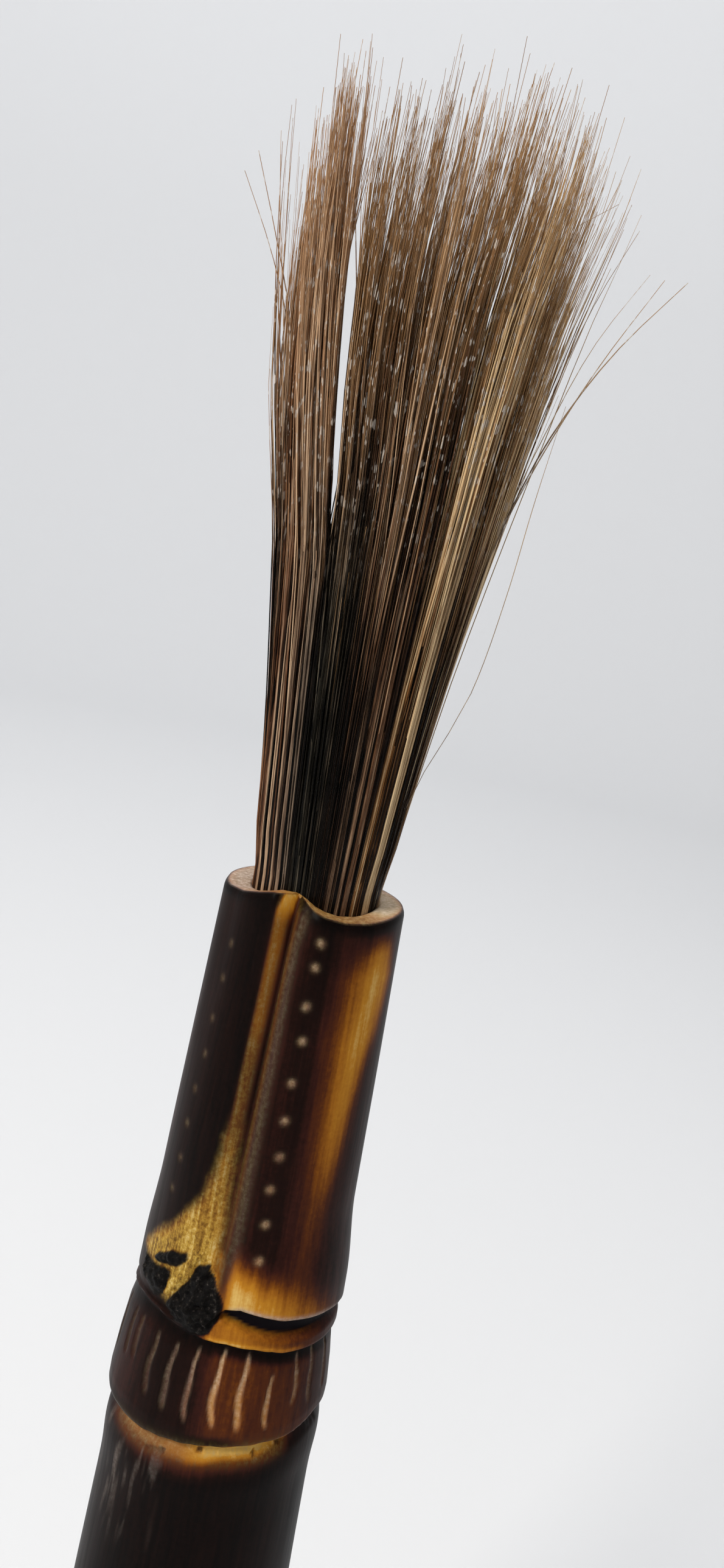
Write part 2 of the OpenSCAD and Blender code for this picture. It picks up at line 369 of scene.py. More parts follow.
def node_relief(angle, depth):
    """Height of the skin round the first node: the pad, the ledge and the collar."""
    lip, crease = lip_depth(angle), ledge_top(angle)
    low, step = ledge_bottom(angle), collar_step(angle)
    pad = ease(depth, 32, 41.5) * (1 - ease(depth, lip - 0.35, lip + 0.15))
    height = 0.62 * pad * span(angle, -12, 150, 4, 40)
    height = height + 0.4 * pad * (1 - span(angle, -80, 150, 20, 40))
    sunk = ease(depth, lip - 0.1, lip + 0.2) * (1 - ease(depth, crease - 0.25, crease + 0.4))
    height = height - 0.45 * sunk * ease(angle, -9, -2)
    ledge = ease(depth, crease - 0.1, crease + 0.7) * (1 - ease(depth, low - 0.25, low + 0.15))
    reach = curve(angle, (-180, 0.2), (-16, 0.2), (-6, 1), (48, 1), (72, 0.55), (180, 0.2))
    height = height + 0.62 * ledge * reach
    ring = hill(depth, low - 0.25, 0.25) * (1 - ease(angle, -14, -8)) * 0.22
    height = height + ring
    collar = ease(depth, low - 0.1, low + 0.25) * (1 - ease(depth, step - 0.12, step + 0.25))
    bulge = curve((depth - low) / (step - low), (0, -0.5), (0.08, -0.3), (0.2, 0.0), (0.5, 0.3),
                  (0.85, 0.5), (0.97, 0.42), (1, 0.3))
    height = height + collar * (bulge + 0.45 * hill(angle, -95, 45))
    under = depth - step
    height = height - 0.5 * ease(under, -0.1, 0.25) * (1 - ease(under, 0.3, 2.6))
    return height + 0.3 * hill(under, 4, 3)


def bud_relief(angle, depth, here):
    """Height and masks of the charred bud, the lumps beside it and the gold fibres round them."""
    crumbs = rough(here, 1.0, 1.0, 3, 3)
    x = np.radians(angle) * stem_radius(depth) + 0.30 * rough(here, 1.6, 1.0, 2, 8)
    deep = depth + 0.22 * rough(here, 1.4, 1.0, 2, 9)
    bud, flat, side = inside(x, deep, BUD), inside(x, deep, FLAT_LUMP), inside(x, deep, SIDE_LUMP)
    height = (0.5 * ease(bud, -0.15, 0.5) + 0.85 * ease(bud, 0.2, 2.2)) * (1 + 0.3 * crumbs)
    height = height + 0.55 * ease(flat, -0.15, 0.7) + 0.65 * ease(side, -0.15, 1.0)
    height = height + 0.24 * crumbs * ease(np.maximum(np.maximum(bud, flat), side), -0.1, 0.3)
    char = np.maximum(ease(bud, -0.12, 0.14), ease(flat, -0.15, 0.2))
    char = np.maximum(char, ease(side, -0.15, 0.25))
    ridge = ease(inside(x, deep, RIDGE), -0.2, 0.15)
    height = height + 0.35 * ridge
    char = char * (1 - ridge)
    fan = ease(inside(x, depth + 0.5 * rough(here, 2.5, 2.5, 2, 10), FAN), -0.9, 0.9)
    fibres = rough(here, 0.5, 5.0, 2, 11)
    height = height + fan * (0.05 * fibres + 0.07 * crumbs) * ease(depth, 26, 34)
    tone = curve(depth, (24, 0.58), (29, 0.5), (33, 0.4), (36, 0.32), (38, 0.27), (41, 0.3),
                 (44, 0.5))
    tone = tone + 0.2 * ease(angle, -22, -13) * (1 - ease(depth, 38, 41))
    tone = tone + 0.09 * fibres + 0.06 * crumbs
    return height, char, ridge, fan, tone


def crease_shadow(angle, depth):
    """The dark hollow between the lip and the ledge, on the front half."""
    top, low = lip_depth(angle), ledge_top(angle)
    shadow = ease(depth, top - 0.1, top + 0.2) * (1 - ease(depth, low - 0.15, low + 0.3))
    return shadow * ease(angle, -9, -4) * (1 - 0.7 * ease(angle, 60, 90))


def bare_wood_and_highlights(angle, depth, here, dots, bare):
    """Where the skin is cut or worn through to grey-brown wood, where gold fibres show, and painted
    highlights on the node's lip and the groove's right shoulder.
    """
    # painted highlight: a thin pale line along the lip over the node's crease, laid in as cut wood
    lip = hill(depth, lip_depth(angle) - 0.3, 0.3) * span(angle, 0, 64, 5, 14)
    streaks = ease(rough(here, 0.8, 7.0, 2, 12), 0.1, 0.6) * span(depth, 60, 70, 1, 5)
    streaks = streaks * 0.16 * span(angle, -70, -24, 12, 8)
    ring = hill(depth - collar_step(angle), 0.9, 1.0) * 0.25
    fade_left = ease(angle, -16, 0)
    left_ring = ring * (1 - fade_left) * ease(angle, -74, -46) * 0.4
    gold_ring = ring * mix(0.9, 1.6, fade_left) * span(angle, -60, 43, 12, 7)
    # painted highlight: a pale line down the groove's right shoulder, laid in as cut wood and as
    # gold specks; the right bank adds a faint one
    shoulder_highlight = hill(angle, curve(depth, (0, -3), (4, -6.5), (38, -5.5)), 3)
    shoulder_highlight = shoulder_highlight * span(depth, 0.6, 38, 1, 6) * 0.065
    left_bank = span(angle, -23.0, -17.0, 1.3, 3.0) * (1 - ease(depth, 24, 29)) * 0.2
    right_bank_highlight = span(angle, -12, -8, 1, 2) * span(depth, 0.3, 36, 1, 6) * 0.1
    cut = np.maximum.reduce([dots * 0.3, bare * 0.6, lip * 0.75, streaks, left_ring, shoulder_highlight])
    gold = np.maximum.reduce([left_bank, dots * 0.42, bare * 0.45, gold_ring,
                              shoulder_highlight + right_bank_highlight])
    return cut, gold


def stem_skin(angle, depth):
    """Radius of the skin and its marks at each angle and depth."""
    radius = stem_radius(depth)
    turn = np.radians(angle)
    here = np.stack([radius * np.sin(turn), -radius * np.cos(turn), -depth], -1)
    radius = radius + 0.10 * rough(here, 26, 2.0, 2, 1) + 0.02 * rough(here, 2.2, 9.0, 2, 2)
    groove, across = groove_shape(angle, depth)
    flattened = 0.55 * span(angle, -72, -14, 14, 8) * (1 - ease(depth, 4, 30))
    radius = radius - groove - flattened
    radius = radius - 0.14 * hill(across, 0, 0.2) * span(depth, 0.5, 40, 0.5, 1.5)
    scorch_and_painted_light = stem_scorch(angle, depth, across)
    scorch_and_painted_light = node_scorch(angle, depth, scorch_and_painted_light)
    scorch_and_painted_light = root_scorch(angle, depth, scorch_and_painted_light)
    radius = radius + node_relief(angle, depth)
    for node_depth in ROOT_NODES:
        wobble = node_depth + 0.5 * np.sin(np.radians(angle + node_depth * 7))
        radius = radius + 0.55 * hill(depth, wobble - 1.3, 1.0) - 0.35 * hill(depth, wobble, 0.45)
        radius = radius + 0.45 * hill(depth, wobble + 1.2, 0.9)

    lumps, char, ridge, fan, fan_tone = bud_relief(angle, depth, here)
    radius = radius + lumps
    scorch_and_painted_light = mix(scorch_and_painted_light, fan_tone, fan * (1 - ease(depth, 43, 45)))
    scorch_and_painted_light = mix(scorch_and_painted_light, 0.99, char)
    scorch_and_painted_light = mix(scorch_and_painted_light, 0.2, ridge * 0.9)

    dots = dot_marks(angle, depth)
    strokes, bare = stroke_marks(angle, depth)
    radius = radius - 0.25 * dots - 0.22 * strokes
    golden = curve(angle, (-60, 0.05), (-20, 0.25), (-8, 0.7), (0, 1), (30, 0.85), (44, 0.5),
                   (60, 0.1))
    scorch_and_painted_light = mix(scorch_and_painted_light, 0.27, strokes * golden)
    scorch_and_painted_light = mix(scorch_and_painted_light, 0.33, dots * 0.6)
    under_collar = span(depth - collar_step(angle), 0.1, 1.8, 0.3, 0.5)
    pits = ease(rough(here, 1.5, 1.0, 2, 5), 0.42, 0.62) * under_collar
    radius = radius - 0.25 * pits
    scorch_and_painted_light = mix(scorch_and_painted_light, 0.85, pits * 0.7)

    cut, gold = bare_wood_and_highlights(angle, depth, here, dots, bare)
    fan_fibres = fan * curve(depth, (24, 0.3), (29, 0.5), (35, 0.85), (40, 1))
    fan_fibres = fan_fibres * (1 - 0.75 * ease(angle, -22, -12))
    # Besides real marks, the tone carries the painted shadow under the ledge and painted light in
    # the groove, and the cut and speck masks carry painted highlights.
    return radius, {
        "scorch_and_painted_light": scorch_and_painted_light,
        "cut": cut,
        "char": char,
        "specks_and_highlight": np.maximum.reduce([fan_fibres, ridge, gold]) * (1 - char),
        "shadow": crease_shadow(angle, depth) * (1 - char),
    }


def ring_angles():
    """Angles round the stem, closest together at the front."""
    t = np.linspace(-1, 1, RING_POINTS, endpoint=False)
    return 180 * (0.72 * t + 0.28 * t**3)


def stem_rows(angle):
    """Every ring, from the middle of the butt up the skin, over the rim and down the socket."""
    fine = np.arange(0.2, FINE_DEPTH, FINE_STEP)
    coarse = np.arange(FINE_DEPTH, STEM_LENGTH - 1, COARSE_STEP)
    butt_edge = [STEM_LENGTH - 1.0, STEM_LENGTH - 0.5, STEM_LENGTH - 0.15]
    depths = np.concatenate([fine, coarse, butt_edge])[::-1]
    depth, around = np.meshgrid(depths, angle, indexing="ij")
    radius, marks = stem_skin(around, depth)
    rounded = np.clip(depth - (STEM_LENGTH - 1.0), 0, 1)
    worn = np.clip(0.75 - depth, 0, 1)
    soft_bank = np.clip(1 - depth / 1.8, 0, 1) ** 2 * span(around, -24, -4, 3, 5)
    radius = radius - 0.55 * rounded**2 - 0.5 * worn**2 - 0.55 * soft_bank
    rows = [(radius[i], depth[i], {k: m[i] for k, m in marks.items()}) for i in range(len(depths))]
    plain = {k: np.zeros_like(angle) for k in marks}

    butt = []
    for share in (0.25, 0.55, 0.85, 0.97):
        grain = 0.45 + 0.2 * np.sin(np.radians(angle * 3)) * share
        marks_here = {**plain, "scorch_and_painted_light": grain, "cut": plain["cut"] + 0.5}
        butt.append((radius[0] * share, np.full_like(angle, STEM_LENGTH), marks_here))

    rim = []
    outer = radius[-1]
    gold = curve(angle, (-180, 0.2), (-95, 0.15), (-62, 0.25), (-35, 0.4), (-18, 0.26), (-6, 0.34),
                 (20, 0.36), (48, 0.3), (66, 0.04), (100, 0.08), (180, 0.2))
    raw = curve(angle, (-180, 0.75), (-100, 0.9), (-66, 0.8), (-45, 0.3), (-20, 0.1), (20, 0.15),
                (48, 0.3), (66, 0.66), (180, 0.75))
    shielded = 1 - 0.9 * span(angle, -22, -12, 2, 2)
    for share, drop in RIM_RINGS:
        burnt = ease(np.full_like(angle, share), 0.8, 0.97) * 0.85 * shielded
        olive = 0.5 * span(angle, -24, 52, 6, 12) * (1 - burnt)
        marks_here = {**plain, "scorch_and_painted_light": mix(gold, 0.9, burnt), "cut": raw * (1 - burnt),
                      "specks_and_highlight": olive}
        rim.append((mix(SOCKET_R, outer, share), np.full_like(angle, drop), marks_here))
    wall = []
    for down in (1.0, 3.0, 8.0, SOCKET_DEPTH - 0.4, SOCKET_DEPTH):
        marks_here = {**plain, "scorch_and_painted_light": plain["scorch_and_painted_light"] + 0.55, "cut": plain["cut"] + 0.3}
        wall.append((np.full_like(angle, SOCKET_R), np.full_like(angle, down), marks_here))
    return butt + rows + rim + wall


def net_mesh(name, rows, angle):
    """A closed skin through the rings, with a point at each end."""
    count = len(angle)
    sine, cosine = np.sin(np.radians(angle)), -np.cos(np.radians(angle))
    points = []
    for radius, depth, _ in rows:
        height = MOUTH - depth + rim_lift(angle, depth)
        points.append(np.stack([radius * sine, radius * cosine, height], -1))
    first_end = np.array([[0, 0, MOUTH - rows[0][1].mean()]])
    last_end = np.array([[0, 0, MOUTH - rows[-1][1].mean()]])
    points = np.concatenate(points + [first_end, last_end]) * MM
    ring = np.arange(count)
    after = np.roll(ring, -1)
    faces = []
    for i in range(len(rows) - 1):
        low, high = i * count, (i + 1) * count
        faces += np.stack([low + ring, low + after, high + after, high + ring], -1).tolist()
    first, last, top = len(rows) * count, len(rows) * count + 1, (len(rows) - 1) * count
    faces += [[first, int(b), int(a)] for a, b in zip(ring, after)]
    faces += [[last, top + int(a), top + int(b)] for a, b in zip(ring, after)]
    mesh = bpy.data.meshes.new(name)
    mesh.from_pydata(points.tolist(), [], faces)
    for key in rows[0][2]:
        ends = [rows[0][2][key].mean(), rows[-1][2][key].mean()]
        values = np.concatenate([row[2][key] for row in rows] + [ends])
        mark = mesh.attributes.new(key, "FLOAT", "POINT")
        mark.data.foreach_set("value", values.astype(np.float32))
    build = bmesh.new()
    build.from_mesh(mesh)
    bmesh.ops.recalc_face_normals(build, faces=build.faces)
    build.to_mesh(mesh)
    build.free()
    mesh.shade_smooth()
    return mesh


def show(name, mesh, *materials):
    """Puts a finished mesh in the scene."""
    piece = bpy.data.objects.new(name, mesh)
    bpy.context.scene.collection.objects.link(piece)
    for material in materials:
        mesh.materials.append(material)
    return piece


def torched_bamboo():
    """Root bamboo, torched over a flame and rubbed with wax: amber to black under a soft shine,
    with fine fibres along the stem. Cut wood and charred bud are dull."""
    material, tree = new_material("torched_bamboo")
    where = add(tree, "ShaderNodeTexCoord").outputs["Object"]
    scorch_and_painted_light, cut, char, specks_and_highlight, shadow = (
        add(tree, "ShaderNodeAttribute", attribute_name=name).outputs["Fac"]
        for name in ("scorch_and_painted_light", "cut", "char", "specks_and_highlight", "shadow")
    )
    # fibres half a millimetre wide run along the stem, and the flame left clouds about 5 mm wide
    fibres = add(tree, "ShaderNodeMapping", {"Vector": where, "Scale": (1, 1, 0.035)}).outputs[0]
    fibre = add(tree, "ShaderNodeTexNoise", {"Vector": fibres, "Scale": 1 / (0.5 * MM),
                                             "Detail": 4.0, "Roughness": 0.6}).outputs[0]
    clouds = add(tree, "ShaderNodeMapping", {"Vector": where, "Scale": (1, 1, 0.22)}).outputs[0]
    cloud = add(tree, "ShaderNodeTexNoise", {"Vector": clouds, "Scale": 1 / (5 * MM),
                                             "Detail": 3.0}).outputs[0]
    crumb = add(tree, "ShaderNodeTexNoise", {"Vector": where, "Scale": 1 / (0.5 * MM),
                                             "Detail": 5.0, "Roughness": 0.7}).outputs[0]
    fibre_drift = add(tree, "ShaderNodeMath", {0: fibre, 1: 0.26, 2: -0.13},
                      operation="MULTIPLY_ADD").outputs[0]
    cloud_drift = add(tree, "ShaderNodeMath", {0: cloud, 1: 0.2, 2: fibre_drift},
                      operation="MULTIPLY_ADD").outputs[0]
    drift = add(tree, "ShaderNodeMath", {0: crumb, 1: 0.16, 2: cloud_drift},
                operation="MULTIPLY_ADD").outputs[0]
    drift = add(tree, "ShaderNodeMath", {0: drift, 1: -0.18}, operation="ADD").outputs[0]
    burnt = add(tree, "ShaderNodeMath", {0: scorch_and_painted_light, 1: drift}, operation="ADD",
                use_clamp=True).outputs[0]
    skin = add(tree, "ShaderNodeValToRGB", {"Fac": burnt})
    set_ramp(skin, (0.0, "#e8d09a"), (0.12, "#d6b063"), (0.24, "#bb7f24"), (0.36, "#a0641a"),
             (0.48, "#784310"), (0.60, "#4e2611"), (0.72, "#331711"), (0.84, "#1b0c08"),
             (1.0, "#080403"))
    wood = add(tree, "ShaderNodeValToRGB", {"Fac": crumb})
    set_ramp(wood, (0.3, "#796a5e"), (0.5, "#ac9b90"), (0.7, "#dacdc3"))
    strands = add(tree, "ShaderNodeMath", {0: crumb, 1: fibre}, operation="ADD").outputs[0]
    strands = add(tree, "ShaderNodeMath", {0: strands, 1: 0.5}, operation="MULTIPLY").outputs[0]
    torn = add(tree, "ShaderNodeValToRGB", {"Fac": strands})
    set_ramp(torn, (0.38, "#4a3416"), (0.46, "#866529"), (0.54, "#b4923f"), (0.64, "#d8c07c"))
    coal = add(tree, "ShaderNodeValToRGB", {"Fac": crumb})
    set_ramp(coal, (0.42, "#050404"), (0.58, "#12100e"), (0.68, "#3a3531"), (0.8, "#8a827b"))
    colour = skin.outputs[0]
    # The cut and speck layers also lay in the painted highlights on the node's lip and the groove's
    # right shoulder; the shadow layer is painted shadow.
    layers = (
        (specks_and_highlight, torn.outputs[0]),
        (cut, wood.outputs[0]),
        (char, coal.outputs[0]),
        (shadow, linear("#0b060b")),
    )
    for amount, over in layers:
        colour = add(tree, "ShaderNodeMix", {"Factor": amount, "A": colour, "B": over},
                     data_type="RGBA").outputs["Result"]
    waxed = add(tree, "ShaderNodeMapRange", {"Value": fibre, "To Min": 0.34,
                                             "To Max": 0.5}).outputs[0]
    dull_cut = add(tree, "ShaderNodeMath", {0: cut, 1: 0.7}, operation="MULTIPLY").outputs[0]
    dull = add(tree, "ShaderNodeMath", {0: char, 1: 0.5, 2: dull_cut},
               operation="MULTIPLY_ADD").outputs[0]
    roughness = add(tree, "ShaderNodeMath", {0: waxed, 1: dull}, operation="MAXIMUM").outputs[0]
    fine = add(tree, "ShaderNodeBump", {"Height": fibre, "Strength": 0.15,
                                        "Distance": 0.1 * MM}).outputs[0]
    rough_places = add(tree, "ShaderNodeMath", {0: dull, 1: specks_and_highlight}, operation="MAXIMUM").outputs[0]
    lumps = add(tree, "ShaderNodeMath", {0: crumb, 1: rough_places},
                operation="MULTIPLY").outputs[0]
    bump = add(tree, "ShaderNodeBump", {"Height": lumps, "Strength": 0.8, "Distance": 0.25 * MM,
               "Normal": fine}).outputs[0]
    shader = add(tree, "ShaderNodeBsdfPrincipled",
                 {"Base Color": colour, "Roughness": roughness, "Normal": bump, "IOR": 1.45,
                  "Specular IOR Level": 0.06})
    add(tree, "ShaderNodeOutputMaterial", {"Surface": shader.outputs[0]})
    return material


def bamboo_stem():
    angle = ring_angles()
    piece = show("bamboo_stem", net_mesh("bamboo_stem", stem_rows(angle), angle), torched_bamboo())
    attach(piece, "handle")
    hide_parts("bamboo_handle")


# ------------------------------------------------------------------- the hair
# Hairs grow in wisps. A wisp has its own colour, length and lean, and its hairs stray from it.

# Heights over the mouth in mm. A hair starts HAIR_SINK below it, and its foot ends at CUT_HEIGHT.
HAIR_SINK = 2.5
CUT_HEIGHT = 24.0
FAN_HEIGHT = 72.0
TALLEST = 84.0
# Pieces that each hair is made of below and above CUT_HEIGHT, and the sides of its tube.
FOOT_STEPS = 6
TIP_STEPS = 9
HAIR_SIDES = 3
# The roots stop this side of the socket's wall.
ROOT_R = SOCKET_R - 0.13
# Where the right lock starts, and how far from the middle the front and back locks start.
RIGHT_FROM = 0.66
CORE_DEEP = 0.36
FRONT_HAIRS = 20
SECOND_HAIRS = 13
LEFT_WISPS = 42
MAIN_WISPS = 128
LOOSE_HAIRS = 230
# A stray hair's foot stands at this share of its first stop.
STRAY_FOOT = 0.68
# Colour of the short glints painted on the upper hairs.
GLINT_COLOUR = "#d6ccc0"
# The slit and sides are drawn for an eye this many mm in front, so hairs at the back stand wider.
EYE = 150.0

# The wisps seen at the front of the mouth, from left to right: (share of the width, tone, warmth).
# A tone of 0 is black and 1 is cream, and warmth goes from grey-green at 0 to red-gold at 1.
FRONT_WISPS = (
    (0.00, 0.80, 0.8), (0.02, 0.30, 0.9), (0.045, 0.72, 0.7), (0.07, 0.10, 0.7), (0.095, 0.86, 0.6),
    (0.12, 0.12, 0.8), (0.14, 0.08, 0.8), (0.16, 0.70, 0.5), (0.185, 0.10, 0.6), (0.21, 0.62, 0.35),
    (0.235, 0.08, 0.4), (0.26, 0.48, 0.2), (0.28, 0.10, 0.3), (0.305, 0.30, 0.1), (0.33, 0.06, 0.1),
    (0.35, 0.34, 0.05), (0.375, 0.08, 0.1), (0.40, 0.36, 0.1), (0.42, 0.06, 0.1),
    (0.445, 0.30, 0.15), (0.47, 0.05, 0.4), (0.495, 0.22, 0.6), (0.52, 0.08, 0.7),
    (0.545, 0.20, 0.7), (0.57, 0.10, 0.8), (0.595, 0.52, 0.6), (0.62, 0.44, 0.5),
    (0.645, 0.12, 0.8), (0.67, 0.58, 0.7), (0.69, 0.08, 0.8), (0.715, 0.52, 0.9), (0.74, 0.68, 0.8),
    (0.76, 0.10, 0.8), (0.785, 0.62, 1.0), (0.81, 0.40, 1.0), (0.83, 0.10, 0.8), (0.85, 0.20, 0.9),
    (0.872, 1.00, 0.8), (0.90, 0.86, 0.8), (0.925, 0.10, 0.7), (0.95, 0.16, 0.6),
    (0.975, 0.30, 0.7), (0.99, 0.66, 0.7),
)
SLIT_SHARE = 0.30


def outer_x(height, side):
    """Reach of the dense tuft to the left (side -1) or right (side 1) of its middle."""
    if side < 0:
        return curve(height, (0, -ROOT_R), (18, -8.2), (35, -9.9), (50, -12.2), (60, -12.9),
                     (72, -13.6), (82, -14.0))
    return curve(height, (0, ROOT_R), (24, 8.5), (33, 9.3), (47, 10.5), (60, 11.7), (70, 13.4),
                 (82, 14.6))


def slit_x(height, side):
    """The slit beside the left lock: its left bank (side -1) or right bank (side 1)."""
    if side < 0:
        return curve(height, (0, -2.65), (34, -5.2), (42, -6.5), (47, -7.2), (55, -8.2), (61, -8.8),
                     (72, -9.6), (82, -10.2))
    return curve(height, (0, -2.65), (34, -5.2), (42, -5.8), (47, -6.4), (52, -6.95), (60, -7.5),
                 (68, -7.8), (82, -7.6))


def outer_y(height):
    return curve(height, (0, ROOT_R), (72, 10.2), (82, 10.6))


def hair_place(part, across, deep, height):
    """Where a hair stands: across runs 0 to 1 over its part of the tuft, and deep -1 to 1 from
    front to back."""
    bank = slit_x(height, -1 if part == "left" else 1)
    edge = outer_x(height, -1 if part == "left" else 1)
    x = mix(edge, bank, across) if part == "left" else mix(bank, edge, across)
    reach = np.clip(x / outer_x(height, -1), 0, 1) + np.clip(x / outer_x(height, 1), 0, 1)
    y = deep * outer_y(height) * np.sqrt(np.clip(1 - reach**2, 0.0, 1))
    return np.stack([x * (1 + y / EYE * ease(height, 0, 40)), y, MOUTH + height], -1)


def lock_of(part, across, deep):
    """The lock that a wisp of the main mass grows in."""
    if part == "left":
        return "left_lock"
    if across > RIGHT_FROM:
        return "right_lock"
    if deep < -CORE_DEEP:
        return "front_lock"
    if deep > CORE_DEEP:
        return "back_lock"
    return "core_lock"


def inner_tone(x, rng):
    """Tone and warmth of a wisp that isn't at the front, by its place at the mouth."""
    dark = curve(x, (-6.5, 0.35), (-4.5, 0.55), (-3, 0.8), (-1.5, 0.9), (1.5, 0.85), (2.6, 0.65),
                 (4.0, 0.5), (6.7, 0.4))
    if rng.random() < dark:
        return rng.uniform(0.04, 0.26), rng.uniform(0.2, 1)
    return rng.choice([0.42, 0.55, 0.68, 0.85]) + rng.uniform(-0.07, 0.07), rng.uniform(0.5, 1)


def usual_tone(x):
    """Tone of the upper half of a wisp: darkest in the middle, golden near the right side."""
    return curve(x, (-14, 0.4), (-9, 0.42), (-5.5, 0.3), (-2, 0.2), (1, 0.2), (4.5, 0.2), (7, 0.37),
                 (9.5, 0.32), (11.5, 0.46), (15, 0.5))


def top_height(x):
    """Height of the longest hairs by where they end: nearly level, and lower at the sides."""
    return curve(x, (-15.5, 68), (-14, 76), (-12.5, 80), (-10, 82), (-7.5, 79), (-5, 80.5), (0, 81),
                 (3.5, 83.5), (8.5, 83.5), (10.5, 81.5), (13, 78.5), (15, 74), (16, 68))


# Where the hairs gather in points at the top, in mm across the tuft.
CLUMPS = (-13.4, -11.3, -9.5, -6.9, -4.7, -2.3, 0.4, 3.0, 5.6, 8.3, 10.6, 12.7, 14.6)


def wisp_plan(rng):
    """Every wisp as (part, across, deep, tone, warmth, hairs), those in front first."""
    plan = []
    for share, tone, warmth in FRONT_WISPS:
        part = "left" if share < SLIT_SHARE else "main"
        across = share / SLIT_SHARE if part == "left" else (share - SLIT_SHARE) / (1 - SLIT_SHARE)
        plan.append((part, across, -0.98, tone, warmth, FRONT_HAIRS))
        if rng.random() < 0.7:
            deep, darker = rng.uniform(-0.92, -0.7), tone * rng.uniform(0.5, 1.0)
            plan.append((part, across, deep, darker, warmth, SECOND_HAIRS))
    for part, count in (("left", LEFT_WISPS), ("main", MAIN_WISPS)):
        for i in range(count):
            across = (i + rng.uniform(0.1, 0.9)) / count
            deep = rng.uniform(-0.8, 1)
            deep = np.sign(deep) * abs(deep) ** 0.62
            foot = hair_place(part, across, deep, np.array(0.0))
            plan.append((part, across, deep, *inner_tone(foot[0], rng), int(rng.integers(9, 19))))
    return plan


def grow_wisps(rng):
    """Every hair of the tuft as (lock, middle line, thickness, tone, warmth, share of length)."""
    hairs = []
    for part, across, deep, tone, warmth, count in wisp_plan(rng):
        top = hair_place(part, across, deep, np.array(FAN_HEIGHT))
        lock = lock_of(part, across, deep)
        drop = rng.gamma(1.2, 4.0)
        lean = rng.normal(0, 0.8 if rng.random() < 0.8 else 1.8, 2)
        size = rng.uniform(0.7, 1.15)
        clump = min(CLUMPS, key=lambda x: abs(x - top[0] - lean[0]))
        pull = 0.66 * (clump - top[0] - lean[0])
        upper_tone = usual_tone(top[0]) + rng.choice((-0.26, 0.3)) + rng.normal(0, 0.12)
        upper_tone = np.clip(upper_tone, 0.02, 0.95)
        for _ in range(count):
            short = rng.gamma(1.5, 3.2) if rng.random() < 0.36 else rng.gamma(1.7, 14)
            tip = top_height(top[0] + lean[0]) - drop - short
            tones = (tone, upper_tone)
            hair = hair_line(rng, lock, part, across, deep, lean, pull, size, tones, warmth, tip)
            hairs.append(hair)
    return hairs


def hair_heights(tip, steps):
    """Heights of a hair's points, with one where its foot is cut from the rest."""
    foot = np.linspace(-HAIR_SINK, CUT_HEIGHT, FOOT_STEPS + 1)
    return np.concatenate([foot, np.linspace(CUT_HEIGHT, tip, steps + 1)[1:]])


def hair_line(rng, lock, part, across, deep, lean, pull, size, tone, warmth, tip):
    """One hair of a wisp, whose tone goes from that of the mouth to that of the upper half."""
    off = rng.normal(0, 1, 2)
    off /= max(1.0, np.hypot(*off) / 1.6)
    own_tip = float(np.clip(tip, rng.uniform(30, 44), TALLEST))
    if rng.random() < 0.02:
        own_tip = min(own_tip + rng.uniform(2, 6), TALLEST + 1)
    height = hair_heights(own_tip, TIP_STEPS)
    line = hair_place(part, np.clip(across, 0, 1), deep, np.clip(height, 0, None))
    line[:, 2] = MOUTH + height
    share = np.clip(height / FAN_HEIGHT, 0, 1.2)
    tuck = 1 - 0.55 * ease(height, own_tip - 14, own_tip)
    wide = (0.14 + 0.10 * share + 0.22 * share**3) * size * tuck
    swing = np.sin(height * rng.uniform(0.06, 0.2) + rng.uniform(0, 6.28))
    wave = (0.10 + 0.2 * share**3) * swing * share
    stray = rng.normal(0, 0.45 if rng.random() < 0.8 else 1.3, 2)
    line[:, 0] += off[0] * wide + (lean[0] + stray[0]) * share**1.6 + pull * share**3 + wave
    line[:, 1] += off[1] * wide + (lean[1] + stray[1]) * share**1.6 + wave
    keep_clear(line, height, part, rng)
    blend = ease(height, 14, 48) * 0.85
    own_tone = np.clip(mix(tone[0], tone[1], blend) + rng.normal(0, 0.12) * (1 + blend), 0, 1)
    along = np.clip(height / own_tip, 0, 1)
    thick = rng.uniform(0.05, 0.105) * (1 - 0.68 * ease(along, 0.7, 1.0))
    own_warmth = mix(warmth, max(warmth, 0.9), ease(height, 28, 56))
    return lock, line, thick, own_tone, own_warmth, along


def keep_clear(line, height, part, rng):
    """Holds the roots inside the bore, and most hairs out of the slit."""
    bore = mix(ROOT_R, 30.0, ease(height, 0.5, 40))
    out = np.hypot(line[:, 0], line[:, 1])
    squeeze = np.minimum(1, bore / np.maximum(out, 1e-6))
    line[:, 0] *= squeeze
    line[:, 1] *= squeeze
    if rng.random() < 0.02:
        return
    see = 1 + line[:, 1] / EYE
    held = ease(height, 32, 40) * (1 - 0.55 * ease(height, 58, 74))
    if part == "left":
        limit = slit_x(height, -1) * see - rng.uniform(0, 0.5)
        line[:, 0] = mix(line[:, 0], np.minimum(line[:, 0], limit), held)
    else:
        limit = slit_x(height, 1) * see + rng.uniform(0, 0.5)
        line[:, 0] = mix(line[:, 0], np.maximum(line[:, 0], limit), held)


